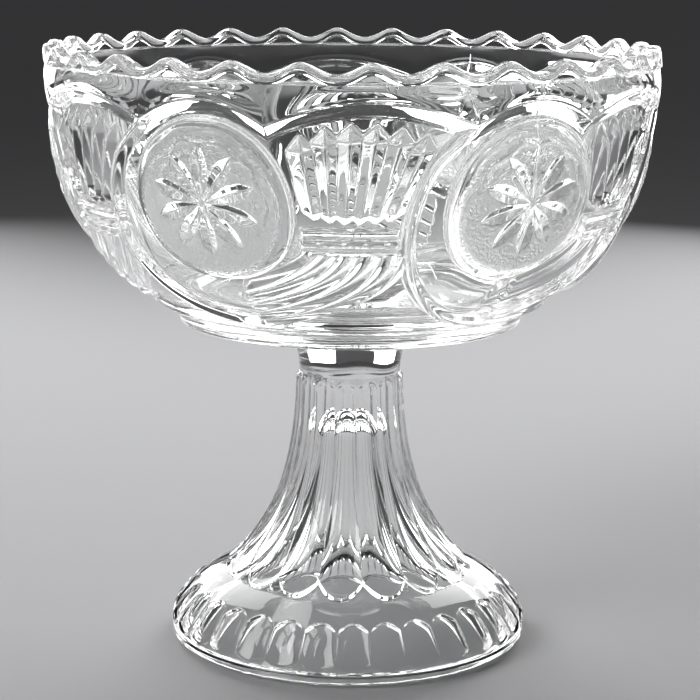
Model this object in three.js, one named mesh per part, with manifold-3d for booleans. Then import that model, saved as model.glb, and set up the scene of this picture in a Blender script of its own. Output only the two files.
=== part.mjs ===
// Pressed-glass compote: an open bowl with moulded medallions and fans,
// a wafer of glass that joins it to its stand, and a fluted stem on a spreading foot.
// Millimetres, +Z up, origin at the centre of the foot's resting ring.
// A turn is an angle round the axis in degrees: 0 faces -Y, growing towards +X.

import * as THREE from 'three';
import { mergeVertices } from 'three/addons/utils/BufferGeometryUtils.js';
import Module from 'manifold-3d';

// Bowl: wall, rim and base
const CREASE_Z = 197.2;
const CREASE_R = 101.2;
const WALL_FOOT_Z = 116.1;
const WALL_FOOT_R = 60.3;
const WALL_LOWER_PULL_R = 89.7;
const WALL_LOWER_PULL_Z = 127.1;
const WALL_UPPER_PULL_R = 102.3;
const WALL_UPPER_PULL_Z = 158.8;
const RIM_WALL = 5.0;
const FLOOR_Z = 121.5;
const FLOOR_R = 46;
const INSIDE_LOWER_PULL_R = 74;
const INSIDE_UPPER_PULL_R = 93.5;
const INSIDE_UPPER_PULL_Z = 148;
const COLLAR_R = 57.8;
const COLLAR_BOTTOM_Z = 111.2;
const COLLAR_TOP_Z = 115;
const COLLAR_WIDTH = 4;
const COLLAR_DRAFT = 0.6;
const UNDERSIDE_RECESS = 1.5;

// Rim: scallops with a bead along their edge and a shallow eye under each
const SCALLOPS = 30;
const SCALLOP_DEPTH = 3.8;
const SCALLOP_POINTEDNESS = 1.5;
const BEAD_HEIGHT = 2.9;
const BEAD_BULGE = 0.7;
const BEAD_ROUND = 1.3;
const EYE_DEPTH = 1.2;
const CREASE_STEP = 0.5;

// Pattern: six repeats round the wall, on a ground sunk below the frieze.
// Places are distances down the wall from the crease, or up it from its foot.
const REPEATS = 6;
const GROUND_DEPTH = 3.0;
const GROUND_START = 6;
const STEP_RUN = 3.8;
const GROUND_FOOT_RUN = 1.4;
const MEDALLION_ARCH = 24;
const ARCH_TOP = 5.4;
const ARCH_CUSP = 12.5;
const ROOT_DEPTH = 1.0;

// Medallions
const MEDALLION_TURN = -30;
const MEDALLION_DOWN = 37.5;
const MEDALLION_R = 27.35;
const MEDALLION_BEVEL = 2.7;
const MEDALLION_EDGE = 0.7;
const MEDALLION_CROWN = 1.9;
const MEDALLION_FACE = -1.0;
const PETALS = 10;
const STAR_RISE = 1.5;
const PETAL_START = 1.0;
const PETAL_WIDEST = 11;
const PETAL_TIP = 17.6;
const PETAL_WIDTH = 4.9;
const PETAL_DEPTH = 1.25;

// Fans of reeds
const REEDS = 6;
const REED_TOP_PITCH = 4.5;
const REED_FOOT_PITCH = 2.65;
const FAN_TOP_TURN = -1.2;
const FAN_FOOT_TURN = -3.1;
const REED_TOP_DOWN = 10.3;
const REED_FOOT_DOWN = 42.8;
const FAN_TOP_DROOP = 0.55;
const FAN_FOOT_LIFT = 0.2;
const REED_POINT = 6.0;
const REED_FOOT_POINT = 3.0;
const REED_RIDGE = -0.4;
const REED_VALLEY = 0.7;

// Tie bands under the fans
const TIE_LEFT_TURN = -12.4;
const TIE_RIGHT_TURN = 5.2;
const TIE_TOP_DOWN = 44.4;
const TIE_FOOT_DOWN = 52.0;
const TIE_LINE_DOWN = 48.8;
const TIE_HOLLOW = 0.8;
const TIE_FACE = -0.9;
const TIE_LINE = 0.7;

// Curved ribs of the skirt that sweeps down to the left of each fan
const RIBS = 5;
const RIB_RIDGE = -0.5;
const RIB_VALLEY = -1.9;
const RIB_EDGE = 0.7;
const RIB_START_TURN = -9.9;
const RIB_START_PITCH = 4.05;
const RIB_START_DOWN = 52.8;
const RIB_BEND_TURN = -14.5;
const RIB_BEND_PITCH = 5;
const RIB_BEND_DOWN = 62;
const RIB_BEND_DROP = 3;
const RIB_END_TURN = -26;
const RIB_END_DOWN = 68;
const RIB_END_DROP = 5.5;

// Halo: the raised band round the left of each medallion
const HALO_WIDTH = 3.0;
const HALO_CREST = 1.7;
const HALO_RISE = -0.1;
const HALO_PATH = [
  [-12.6, 13.5],
  [-19.4, 25],
  [-22.6, 43],
  [-21.3, 62],
  [-14, 79],
  [-3, 88.5],
  [8, 91],
];

// Wafer between bowl and stand
const WAFER_TOP_R = 24.5;
const WAFER_WAIST_R = 17.3;
const JOINT_Z = 93;

// Stem
const STEM_TOP_R = 18.4;
const STEM_PULL_Z = 62;
const STEM_LOWER_PULL_R = 26;
const STEM_LOWER_PULL_Z = 40;
const TONGUE_R = 42;
const TONGUE_Z = 25;
const FLUTES = 16;
const FLUTE_TURN = 4.1;
const FLUTE_DEPTH_TOP = 0.9;
const FLUTE_DEPTH_FOOT = 2.0;
const TONGUE_ARC = 4.6;
const TONGUE_STEP = 2.0;
const TONGUE_FLARE = 0.6;
const TONGUE_ROUND = 0.06;

// Foot; the last three are shares of the dome's line, from its widest ring to its top
const FOOT_R = 61.3;
const FOOT_WIDEST_Z = 5.6;
const FOOT_EDGE_R = 61;
const FOOT_EDGE_Z = 2;
const REST_R = 57.6;
const REST_WIDTH = 4;
const DOME_TOP_R = 38;
const DOME_TOP_Z = 24.4;
const DOME_UPPER_PULL_R = 48;
const DOME_UPPER_PULL_Z = 23;
const DOME_LOWER_PULL_Z = 14.5;
const PANELS = 32;
const PANEL_DEPTH = 2.0;
const PANEL_ARC = 1.9;
const PANEL_MIDDLE = 0.32;
const PANEL_END = 0.55;
const DOME_BELT = 0.78;

// Hollow under the foot
const HOLLOW_TOP_Z = 80;
const HOLLOW_TOP_R = 10.5;
const HOLLOW_SHOULDER_Z = 70;
const HOLLOW_LOWER_PULL_R = 46;
const HOLLOW_LOWER_PULL_Z = 24;
const HOLLOW_UPPER_PULL_R = 14;
const HOLLOW_UPPER_PULL_Z = 26;

// How finely the curves are cut into facets
const RIM_FACETS = 120;
const ARCH_FACETS = 120;
const WALL_FACETS = 48;
const FOOT_FACETS = 96;
const STEM_FACETS = 64;
const HOLLOW_FACETS = 32;
const WAFER_FACETS = 32;
const MEDALLION_FACETS = 24;
const GROUND_RINGS = 4;
const INSIDE_RINGS = 6;
const STEM_RINGS = 7;
const HOLLOW_RINGS = 6;
const HOLLOW_CROWN_RINGS = 3;
const SKIRT_STATIONS = 4;
const HALO_STATIONS = 10;
const TIE_STATIONS = 2;
const WAFER_STEPS = 5;

const DEGREE = Math.PI / 180;
const FULL_TURN = 360;

const wasm = await Module();
wasm.setup();

const glass = new THREE.MeshStandardMaterial({
  color: 0xe9eeee,
  roughness: 0.05,
  metalness: 0,
  transparent: true,
  opacity: 0.35,
});

function placed(turn, radius, height) {
  return new THREE.Vector3(radius * Math.sin(turn * DEGREE), -radius * Math.cos(turn * DEGREE), height);
}

function closedGeometry(points, faces) {
  const geometry = new THREE.BufferGeometry();
  const positions = points.flatMap((point) => [point.x, point.y, point.z]);
  geometry.setAttribute('position', new THREE.Float32BufferAttribute(positions, 3));
  geometry.setIndex(faces);
  return geometry;
}

// A body of revolution whose rings may wave: each ring has its own facet count and
// gives a radius and height for every turn. A ring of one facet is a point on the axis.
function ringBody(rings, startTurn = 0) {
  const points = [];
  const faces = [];
  const starts = [];
  for (const ring of rings) {
    starts.push(points.length);
    for (let i = 0; i < ring.facets; i += 1) {
      const turn = (FULL_TURN * i) / ring.facets;
      const [radius, height] = ring.at(turn);
      points.push(placed(turn + startTurn, radius, height));
    }
  }
  for (let k = 1; k < rings.length; k += 1) {
    bridge(faces, starts[k - 1], rings[k - 1].facets, starts[k], rings[k].facets);
  }
  return closedGeometry(points, faces);
}

// Triangles between two rings of points, which may differ in number
function bridge(faces, lower, lowerCount, upper, upperCount) {
  let i = 0;
  let j = 0;
  const lowerEnd = lowerCount === 1 ? 0 : lowerCount;
  const upperEnd = upperCount === 1 ? 0 : upperCount;
  while (i < lowerEnd || j < upperEnd) {
    const lowerNext = (i + 1) / lowerCount;
    const upperNext = (j + 1) / upperCount;
    const a = lower + (i % lowerCount);
    const b = upper + (j % upperCount);
    if (j >= upperEnd || (i < lowerEnd && lowerNext <= upperNext)) {
      faces.push(a, lower + ((i + 1) % lowerCount), b);
      i += 1;
    } else {
      faces.push(a, upper + ((j + 1) % upperCount), b);
      j += 1;
    }
  }
}

// A body lofted through sections of equally many points, closed at both ends.
// A section of one point makes a pointed end.
function loftBody(sections) {
  const points = sections.flat();
  const faces = [];
  const starts = [];
  let start = 0;
  for (const section of sections) {
    starts.push(start);
    start += section.length;
  }
  for (let k = 1; k < sections.length; k += 1) {
    bridge(faces, starts[k - 1], sections[k - 1].length, starts[k], sections[k].length);
  }
  capEnd(points, faces, starts[0], sections[0], false);
  capEnd(points, faces, starts.at(-1), sections.at(-1), true);
  const geometry = closedGeometry(points, faces);
  if (enclosedVolume(points, faces) < 0) {
    for (let f = 0; f < faces.length; f += 3) {
      [faces[f], faces[f + 1]] = [faces[f + 1], faces[f]];
    }
    geometry.setIndex(faces);
  }
  return geometry;
}

function capEnd(points, faces, start, section, last) {
  if (section.length === 1) return;
  const middle = new THREE.Vector3();
  for (const point of section) middle.addScaledVector(point, 1 / section.length);
  const centre = points.push(middle) - 1;
  for (let i = 0; i < section.length; i += 1) {
    const a = start + i;
    const b = start + ((i + 1) % section.length);
    if (last) faces.push(a, b, centre);
    else faces.push(b, a, centre);
  }
}

function enclosedVolume(points, faces) {
  let volume = 0;
  for (let f = 0; f < faces.length; f += 3) {
    const [a, b, c] = [points[faces[f]], points[faces[f + 1]], points[faces[f + 2]]];
    volume += a.dot(new THREE.Vector3().crossVectors(b, c));
  }
  return volume;
}

function toSolid(geometry) {
  const clean = geometry.clone();
  clean.deleteAttribute('normal');
  clean.deleteAttribute('uv');
  const merged = mergeVertices(clean);
  return new wasm.Manifold(new wasm.Mesh({
    numProp: 3,
    vertProperties: new Float32Array(merged.attributes.position.array),
    triVerts: new Uint32Array(merged.index.array),
  }));
}

function toGeometry(solid) {
  const mesh = solid.getMesh();
  const corners = new Float32Array(mesh.vertProperties);
  const geometry = new THREE.BufferGeometry();
  geometry.setAttribute('position', new THREE.BufferAttribute(corners, mesh.numProp));
  geometry.setIndex(new THREE.BufferAttribute(new Uint32Array(mesh.triVerts), 1));
  return geometry;
}

// The wall's outer line, from its foot up to the crease
const wallLine = new THREE.CubicBezierCurve(
  new THREE.Vector2(WALL_FOOT_R, WALL_FOOT_Z),
  new THREE.Vector2(WALL_LOWER_PULL_R, WALL_LOWER_PULL_Z),
  new THREE.Vector2(WALL_UPPER_PULL_R, WALL_UPPER_PULL_Z),
  new THREE.Vector2(CREASE_R, CREASE_Z),
);
wallLine.arcLengthDivisions = 400;
const WALL_LENGTH = wallLine.getLength();

// Radius and height on the wall at a distance up it, and out from its face
function wallSection(up, out) {
  const along = THREE.MathUtils.clamp(up, 0, WALL_LENGTH);
  const point = wallLine.getPointAt(along / WALL_LENGTH);
  const tangent = wallLine.getTangentAt(along / WALL_LENGTH);
  const beyond = up - along;
  return [
    point.x + tangent.x * beyond + tangent.y * out,
    point.y + tangent.y * beyond - tangent.x * out,
  ];
}

function onWall(turn, down, out) {
  const [radius, height] = wallSection(WALL_LENGTH - down, out);
  return placed(turn, radius, height);
}

// Degrees of turn that cover a length round the wall
function turnOf(length, down) {
  const [radius] = wallSection(WALL_LENGTH - down, 0);
  return length / radius / DEGREE;
}

const ROOT = -GROUND_DEPTH - ROOT_DEPTH;

// Distance down to the chain of arches that ends the frieze: a wide arch over
// each fan and a narrow one over each medallion, each a parabola between cusps
function archDown(turn) {
  const pitch = FULL_TURN / REPEATS;
  const fanArch = pitch - MEDALLION_ARCH;
  const fromFan = Math.abs(turn - pitch * Math.round(turn / pitch));
  const overFan = fromFan <= fanArch / 2;
  const share = overFan ? fromFan / (fanArch / 2) : (pitch / 2 - fromFan) / (MEDALLION_ARCH / 2);
  return ARCH_TOP + (ARCH_CUSP - ARCH_TOP) * share * share;
}

// Height of the scalloped edge, highest on the middle of each scallop
function scallopWave(turn) {
  const share = Math.abs(((turn * SCALLOPS) / FULL_TURN) % 1);
  const fromPeak = 2 * Math.min(share, 1 - share);
  return ((1 + Math.cos(Math.PI * fromPeak)) / 2) ** SCALLOP_POINTEDNESS;
}

function bowlBlank() {
  const undersideZ = COLLAR_BOTTOM_Z + UNDERSIDE_RECESS;
  const edgeZ = (turn) => CREASE_Z + BEAD_HEIGHT + SCALLOP_DEPTH * scallopWave(turn);
  const beadFootZ = (turn) => CREASE_Z + CREASE_STEP + SCALLOP_DEPTH * scallopWave(turn);
  const eyeR = (turn) => CREASE_R - EYE_DEPTH * scallopWave(turn);
  const insideR = CREASE_R - RIM_WALL;
  const archUp = (turn) => WALL_LENGTH - archDown(turn);
  const cuspUp = WALL_LENGTH - ARCH_CUSP - STEP_RUN;
  const groundFoot = GROUND_START + GROUND_FOOT_RUN;
  const plain = (facets, radius, height) => ({ facets, at: () => [radius, height] });
  const wall = (facets, up, out) => ({ facets, at: () => wallSection(up, out) });
  const rim = (at) => ({ facets: RIM_FACETS, at });

  const rings = [
    plain(1, 0, undersideZ),
    plain(WALL_FACETS, COLLAR_R - COLLAR_WIDTH - COLLAR_DRAFT, undersideZ),
    plain(WALL_FACETS, COLLAR_R - COLLAR_WIDTH, COLLAR_BOTTOM_Z),
    plain(WALL_FACETS, COLLAR_R, COLLAR_BOTTOM_Z),
    plain(WALL_FACETS, COLLAR_R, COLLAR_TOP_Z),
    wall(WALL_FACETS, 0, 0),
    wall(WALL_FACETS, GROUND_START, 0),
  ];
  for (let k = 0; k <= GROUND_RINGS; k += 1) {
    const up = THREE.MathUtils.lerp(groundFoot, cuspUp - STEP_RUN, k / GROUND_RINGS);
    rings.push(wall(WALL_FACETS, up, -GROUND_DEPTH));
  }
  rings.push(
    { facets: ARCH_FACETS, at: (turn) => wallSection(archUp(turn) - STEP_RUN, -GROUND_DEPTH) },
    { facets: ARCH_FACETS, at: (turn) => wallSection(archUp(turn), 0) },
    rim(() => [CREASE_R, CREASE_Z]),
    rim((turn) => [eyeR(turn), CREASE_Z + CREASE_STEP * scallopWave(turn)]),
    rim((turn) => [eyeR(turn), beadFootZ(turn)]),
    rim((turn) => [CREASE_R + BEAD_BULGE, edgeZ(turn) - BEAD_HEIGHT / 2]),
    rim((turn) => [CREASE_R - RIM_WALL / 2, edgeZ(turn)]),
    rim((turn) => [insideR, edgeZ(turn) - 2 * BEAD_ROUND]),
  );
  const insideLine = new THREE.CubicBezierCurve(
    new THREE.Vector2(insideR, CREASE_Z - CREASE_STEP),
    new THREE.Vector2(INSIDE_UPPER_PULL_R, INSIDE_UPPER_PULL_Z),
    new THREE.Vector2(INSIDE_LOWER_PULL_R, FLOOR_Z),
    new THREE.Vector2(FLOOR_R, FLOOR_Z),
  );
  for (let k = 0; k <= INSIDE_RINGS; k += 1) {
    const point = insideLine.getPointAt(k / INSIDE_RINGS);
    rings.push(plain(WALL_FACETS, point.x, point.y));
  }
  rings.push(plain(1, 0, FLOOR_Z));
  return ringBody(rings);
}

// The medallion's face stands proud of the wall and swells towards its middle
function medallionFace(reach) {
  const edge = MEDALLION_R - MEDALLION_BEVEL;
  return MEDALLION_FACE + MEDALLION_CROWN * (1 - (reach / edge) ** 2);
}

// A point on a medallion at a clock angle from its top and a reach from its centre
function onMedallion(clock, reach, out, rise = 0) {
  const down = MEDALLION_DOWN - rise - reach * Math.cos(clock * DEGREE);
  const side = reach * Math.sin(clock * DEGREE);
  return onWall(MEDALLION_TURN + turnOf(side, down), down, out);
}

function medallion() {
  const edge = MEDALLION_R - MEDALLION_BEVEL;
  const circles = [
    [0, ROOT],
    [MEDALLION_R, ROOT],
    [MEDALLION_R, MEDALLION_EDGE - GROUND_DEPTH],
    [edge, medallionFace(edge)],
    [PETAL_WIDEST, medallionFace(PETAL_WIDEST)],
    [0, medallionFace(0)],
  ];
  const sections = circles.map(([reach, out]) => {
    const count = reach === 0 ? 1 : MEDALLION_FACETS;
    return Array.from({ length: count }, (_, i) => onMedallion((FULL_TURN * i) / count, reach, out));
  });
  return toSolid(loftBody(sections)).subtract(star());
}

// Ten mitred petals, each a groove that is widest and deepest at its middle
function star() {
  let cut = null;
  for (let k = 0; k < PETALS; k += 1) {
    const clock = (FULL_TURN * k) / PETALS;
    const face = medallionFace(PETAL_WIDEST);
    const halfAngle = Math.atan(PETAL_WIDTH / PETAL_WIDEST) / DEGREE;
    const widest = [
      onMedallion(clock - halfAngle, PETAL_WIDEST, face + PETAL_DEPTH, STAR_RISE),
      onMedallion(clock + halfAngle, PETAL_WIDEST, face + PETAL_DEPTH, STAR_RISE),
      onMedallion(clock, PETAL_WIDEST, face - PETAL_DEPTH, STAR_RISE),
    ];
    const start = onMedallion(clock, PETAL_START, medallionFace(PETAL_START), STAR_RISE);
    const tip = onMedallion(clock, PETAL_TIP, medallionFace(PETAL_TIP), STAR_RISE);
    const petal = toSolid(loftBody([[start], widest, [tip]]));
    cut = cut ? cut.add(petal) : petal;
  }
  return cut;
}

// One reed of a fan: a roof-shaped prism with hipped, pointed ends
function reed(fromMiddle) {
  const topTurn = FAN_TOP_TURN + REED_TOP_PITCH * fromMiddle;
  const footTurn = FAN_FOOT_TURN + REED_FOOT_PITCH * fromMiddle;
  const topDown = REED_TOP_DOWN + FAN_TOP_DROOP * fromMiddle ** 2;
  const footDown = REED_FOOT_DOWN - FAN_FOOT_LIFT * fromMiddle ** 2;
  const valley = REED_VALLEY - GROUND_DEPTH;
  const spread = (REED_RIDGE - ROOT) / (REED_RIDGE - valley) / 2;
  const section = (down) => {
    const share = (down - topDown) / (footDown - topDown);
    const turn = THREE.MathUtils.lerp(topTurn, footTurn, share);
    const half = THREE.MathUtils.lerp(REED_TOP_PITCH, REED_FOOT_PITCH, share) * spread;
    return [
      onWall(turn - half, down, ROOT),
      onWall(turn, down, REED_RIDGE),
      onWall(turn + half, down, ROOT),
    ];
  };
  const upper = topDown + REED_POINT;
  const lower = footDown - REED_FOOT_POINT;
  return loftBody([
    [onWall(topTurn, topDown - ROOT_DEPTH, ROOT)],
    section(upper),
    section((upper + lower) / 2),
    section(lower),
    [onWall(footTurn, footDown + ROOT_DEPTH, ROOT)],
  ]);
}

// The band that gathers the reeds: a hollow strip over a fine line
function tie() {
  const sections = [];
  const middle = (TIE_TOP_DOWN + TIE_LINE_DOWN) / 2;
  for (let k = 0; k <= TIE_STATIONS; k += 1) {
    const turn = THREE.MathUtils.lerp(TIE_LEFT_TURN, TIE_RIGHT_TURN, k / TIE_STATIONS);
    sections.push([
      onWall(turn, TIE_TOP_DOWN, ROOT),
      onWall(turn, TIE_TOP_DOWN, TIE_FACE),
      onWall(turn, middle, TIE_FACE - TIE_HOLLOW),
      onWall(turn, TIE_LINE_DOWN, TIE_FACE + TIE_LINE),
      onWall(turn, (TIE_LINE_DOWN + TIE_FOOT_DOWN) / 2, TIE_FACE),
      onWall(turn, TIE_FOOT_DOWN, TIE_FACE + TIE_LINE),
      onWall(turn, TIE_FOOT_DOWN + TIE_LINE, ROOT),
    ]);
  }
  return loftBody(sections);
}

// The skirt: curved ribs that start under the tie and sweep down below the
// medallion on their left, with a valley between each two
function ribPath(index) {
  return new THREE.QuadraticBezierCurve(
    new THREE.Vector2(RIB_START_TURN + RIB_START_PITCH * index, RIB_START_DOWN),
    new THREE.Vector2(RIB_BEND_TURN + RIB_BEND_PITCH * index, RIB_BEND_DOWN + RIB_BEND_DROP * index),
    new THREE.Vector2(RIB_END_TURN, RIB_END_DOWN + RIB_END_DROP * index),
  );
}

function skirt() {
  const sections = [];
  for (let k = 0; k <= SKIRT_STATIONS; k += 1) {
    const at = (index, out) => {
      const place = ribPath(index).getPoint(k / SKIRT_STATIONS);
      return onWall(place.x, place.y, out);
    };
    const section = [at(-RIB_EDGE, ROOT)];
    for (let index = 0; index < RIBS; index += 1) {
      section.push(at(index, RIB_RIDGE));
      if (index < RIBS - 1) section.push(at(index + 1 / 2, RIB_VALLEY));
    }
    section.push(at(RIBS - 1 + RIB_EDGE, ROOT));
    sections.push(section);
  }
  return loftBody(sections);
}

// The halo leaves the arch's cusp, rounds the medallion's left and ends below it:
// a raised line that follows a path of turns and distances down the wall
function halo() {
  const path = new THREE.SplineCurve(HALO_PATH.map(([turn, down]) => (
    new THREE.Vector2(MEDALLION_TURN + turn, down)
  )));
  const profile = [
    [-HALO_WIDTH, ROOT],
    [-HALO_CREST / 2, HALO_RISE],
    [HALO_CREST / 2, HALO_RISE],
    [HALO_WIDTH, ROOT],
  ];
  const sections = [];
  for (let k = 0; k <= HALO_STATIONS; k += 1) {
    const place = path.getPoint(k / HALO_STATIONS);
    const heading = path.getTangent(k / HALO_STATIONS);
    const perDegree = 1 / turnOf(1, place.y);
    const across = new THREE.Vector2(heading.y, -heading.x * perDegree).normalize();
    sections.push(profile.map(([side, out]) => onWall(
      place.x + (across.x * side) / perDegree,
      place.y + across.y * side,
      out,
    )));
  }
  return loftBody(sections);
}

function ornament() {
  let pattern = medallion();
  for (let k = 0; k < REEDS; k += 1) {
    pattern = pattern.add(toSolid(reed(k - (REEDS - 1) / 2)));
  }
  pattern = pattern.add(toSolid(skirt())).add(toSolid(tie()));
  return toGeometry(pattern.add(toSolid(halo())));
}

function bowl() {
  const pattern = ornament();
  let solid = toSolid(bowlBlank());
  for (let k = 0; k < REPEATS; k += 1) {
    solid = solid.add(toSolid(pattern.clone().rotateZ((FULL_TURN * k * DEGREE) / REPEATS)));
  }
  return toGeometry(solid);
}

// The wafer: hot glass pressed between bowl and stem, drawn in to a waist
function wafer() {
  const topZ = COLLAR_BOTTOM_Z + UNDERSIDE_RECESS;
  const side = new THREE.QuadraticBezierCurve(
    new THREE.Vector2(WAFER_WAIST_R, JOINT_Z),
    new THREE.Vector2(WAFER_WAIST_R, (JOINT_Z + topZ) / 2),
    new THREE.Vector2(WAFER_TOP_R, topZ),
  );
  const profile = side.getPoints(WAFER_STEPS);
  profile.unshift(new THREE.Vector2(0, JOINT_Z));
  profile.push(new THREE.Vector2(0, topZ));
  return new THREE.LatheGeometry(profile, WAFER_FACETS).rotateX(Math.PI / 2);
}

// 0 on the arris between two scoops, 1 on the middle of a scoop
function scoop(turn, count) {
  const share = Math.abs(((turn * count) / FULL_TURN) % 1);
  return 1 - (2 * share - 1) ** 2;
}

function stemAndFoot() {
  const flutedLine = new THREE.CubicBezierCurve(
    new THREE.Vector2(TONGUE_R, TONGUE_Z),
    new THREE.Vector2(STEM_LOWER_PULL_R, STEM_LOWER_PULL_Z),
    new THREE.Vector2(STEM_TOP_R, STEM_PULL_Z),
    new THREE.Vector2(STEM_TOP_R, JOINT_Z),
  );
  const domeLine = new THREE.CubicBezierCurve(
    new THREE.Vector2(FOOT_R, FOOT_WIDEST_Z),
    new THREE.Vector2(FOOT_R, DOME_LOWER_PULL_Z),
    new THREE.Vector2(DOME_UPPER_PULL_R, DOME_UPPER_PULL_Z),
    new THREE.Vector2(DOME_TOP_R, DOME_TOP_Z),
  );
  const hollowLine = new THREE.CubicBezierCurve(
    new THREE.Vector2(HOLLOW_TOP_R, HOLLOW_SHOULDER_Z),
    new THREE.Vector2(HOLLOW_UPPER_PULL_R, HOLLOW_UPPER_PULL_Z),
    new THREE.Vector2(HOLLOW_LOWER_PULL_R, HOLLOW_LOWER_PULL_Z),
    new THREE.Vector2(REST_R - REST_WIDTH, 0),
  );
  const plain = (facets, radius, height) => ({ facets, at: () => [radius, height] });
  const onDome = (share, depth) => ({
    facets: FOOT_FACETS,
    at: (turn) => {
      const point = domeLine.getPointAt(share);
      return [point.x - depth * scoop(turn, PANELS), point.y];
    },
  });
  const onStem = (share) => ({
    facets: STEM_FACETS,
    at: (turn) => {
      const point = flutedLine.getPointAt(share);
      const depth = THREE.MathUtils.lerp(FLUTE_DEPTH_FOOT, FLUTE_DEPTH_TOP, share);
      return [point.x - depth * scoop(turn, FLUTES), point.y];
    },
  });

  const rings = [plain(1, 0, HOLLOW_TOP_Z)];
  for (let k = 1; k < HOLLOW_CROWN_RINGS; k += 1) {
    const lean = (Math.PI / 2) * (k / HOLLOW_CROWN_RINGS);
    rings.push(plain(
      HOLLOW_FACETS,
      HOLLOW_TOP_R * Math.sin(lean),
      HOLLOW_SHOULDER_Z + (HOLLOW_TOP_Z - HOLLOW_SHOULDER_Z) * Math.cos(lean),
    ));
  }
  for (let k = 0; k <= HOLLOW_RINGS; k += 1) {
    const point = hollowLine.getPointAt(k / HOLLOW_RINGS);
    rings.push(plain(HOLLOW_FACETS, point.x, point.y));
  }
  rings.push(
    plain(FOOT_FACETS, REST_R, 0),
    plain(FOOT_FACETS, FOOT_EDGE_R, FOOT_EDGE_Z),
    {
      facets: FOOT_FACETS,
      at: (turn) => [FOOT_R, FOOT_WIDEST_Z - PANEL_ARC * (scoop(turn, PANELS) - 1)],
    },
    {
      facets: FOOT_FACETS,
      at: (turn) => {
        const arc = PANEL_ARC * (scoop(turn, PANELS) - 1);
        return [FOOT_R - PANEL_DEPTH * scoop(turn, PANELS), FOOT_WIDEST_Z - arc + PANEL_DEPTH / 2];
      },
    },
    onDome(PANEL_MIDDLE, PANEL_DEPTH),
    onDome(PANEL_END, 0),
    onDome(DOME_BELT, 0),
  );
  const tongueFall = (turn) => TONGUE_ARC * (1 - scoop(turn, FLUTES));
  rings.push(
    {
      facets: FOOT_FACETS,
      at: (turn) => [
        TONGUE_R + TONGUE_FLARE - tongueFall(turn),
        TONGUE_Z - TONGUE_STEP + tongueFall(turn),
      ],
    },
    {
      facets: FOOT_FACETS,
      at: (turn) => [TONGUE_R - tongueFall(turn), TONGUE_Z + tongueFall(turn)],
    },
  );
  for (let k = 1; k <= STEM_RINGS; k += 1) {
    rings.push(onStem(THREE.MathUtils.lerp(TONGUE_ROUND, 1, k / STEM_RINGS)));
  }
  rings.push(plain(1, 0, JOINT_Z));
  return ringBody(rings, FLUTE_TURN);
}

const compote = new THREE.Group();
for (const [name, geometry] of [
  ['bowl', bowl()],
  ['joining_wafer', wafer()],
  ['stem_and_foot', stemAndFoot()],
]) {
  const mesh = new THREE.Mesh(geometry, glass.clone());
  mesh.name = name;
  compote.add(mesh);
}

export default compote;
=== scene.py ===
import math

import bpy
import numpy as np
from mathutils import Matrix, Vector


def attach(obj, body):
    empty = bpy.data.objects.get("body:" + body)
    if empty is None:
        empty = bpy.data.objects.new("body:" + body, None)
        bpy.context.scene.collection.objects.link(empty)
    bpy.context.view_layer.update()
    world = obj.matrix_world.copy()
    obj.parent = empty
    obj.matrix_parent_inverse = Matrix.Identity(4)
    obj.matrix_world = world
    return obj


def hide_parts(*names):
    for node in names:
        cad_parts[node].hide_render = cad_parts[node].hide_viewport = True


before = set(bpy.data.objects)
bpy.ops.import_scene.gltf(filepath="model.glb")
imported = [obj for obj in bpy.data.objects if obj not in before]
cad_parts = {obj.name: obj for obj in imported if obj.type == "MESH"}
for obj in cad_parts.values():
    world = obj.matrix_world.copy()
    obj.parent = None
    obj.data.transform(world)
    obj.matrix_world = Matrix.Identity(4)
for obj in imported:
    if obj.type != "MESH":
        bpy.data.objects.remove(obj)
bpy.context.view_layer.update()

# Bowl
# The bowl is one piece of colourless soda glass, pressed in a three-part mould with a plunger
# for its inside. The mould gives it a scalloped, beaded rim, a plain frieze over a chain of
# arches, six star medallions, six fans of reeds with ties and ribbed skirts, and a collar.
# Lengths are in millimetres and turns in degrees: 0 faces -Y and turns grow towards +X.
DEGREE = math.pi / 180
MM = 0.001
CREASE_Z = 197.2
CREASE_R = 101.2
WALL_LINE = [(60.3, 116.1), (89.7, 127.1), (102.3, 158.8), (CREASE_R, CREASE_Z)]
RIM_WALL = 5.0
FLOOR_Z = 121.5
INSIDE_LINE = [(CREASE_R - RIM_WALL, 196.7), (93.5, 148), (74, FLOOR_Z), (46, FLOOR_Z)]
COLLAR_R = 57.8
COLLAR_BOTTOM_Z = 111.2
COLLAR_TOP_Z = 115
COLLAR_WIDTH = 4
COLLAR_FLARE = 0.6
COLLAR_ROUND = 0.8
UNDERSIDE_Z = 112.7
WAFER_TOP_R = 24.5

SCALLOPS = 30
SCALLOP_DEPTH = 3.8
SCALLOP_POINTEDNESS = 1.5
BEAD_HEIGHT = 2.9
BEAD_SWELL = 0.4
BEAD_BULGE = 0.7
BEAD_ROUND = 1.3
EYE_DEPTH = 1.2

REPEAT = 60
REPEATS = 360 // REPEAT
GROUND_DEPTH = 3.0
GROUND_START = 6
STEP_RUN = 3.8
COVE = 0.35
FRIEZE_BULGE = 0.45
LIP = 0.22
LIP_WIDTH = 0.35
FOOT_RUN = 1.4
FAN_ARCH = 36
ARCH_TOP = 5.4
ARCH_CUSP = 12.5
ROOT = -4.0
EDGE_SOFTNESS = 0.3

BOWL_COLUMNS = 1440
WALL_ROW = 0.3
WALL_WAVE = 0.05


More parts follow.
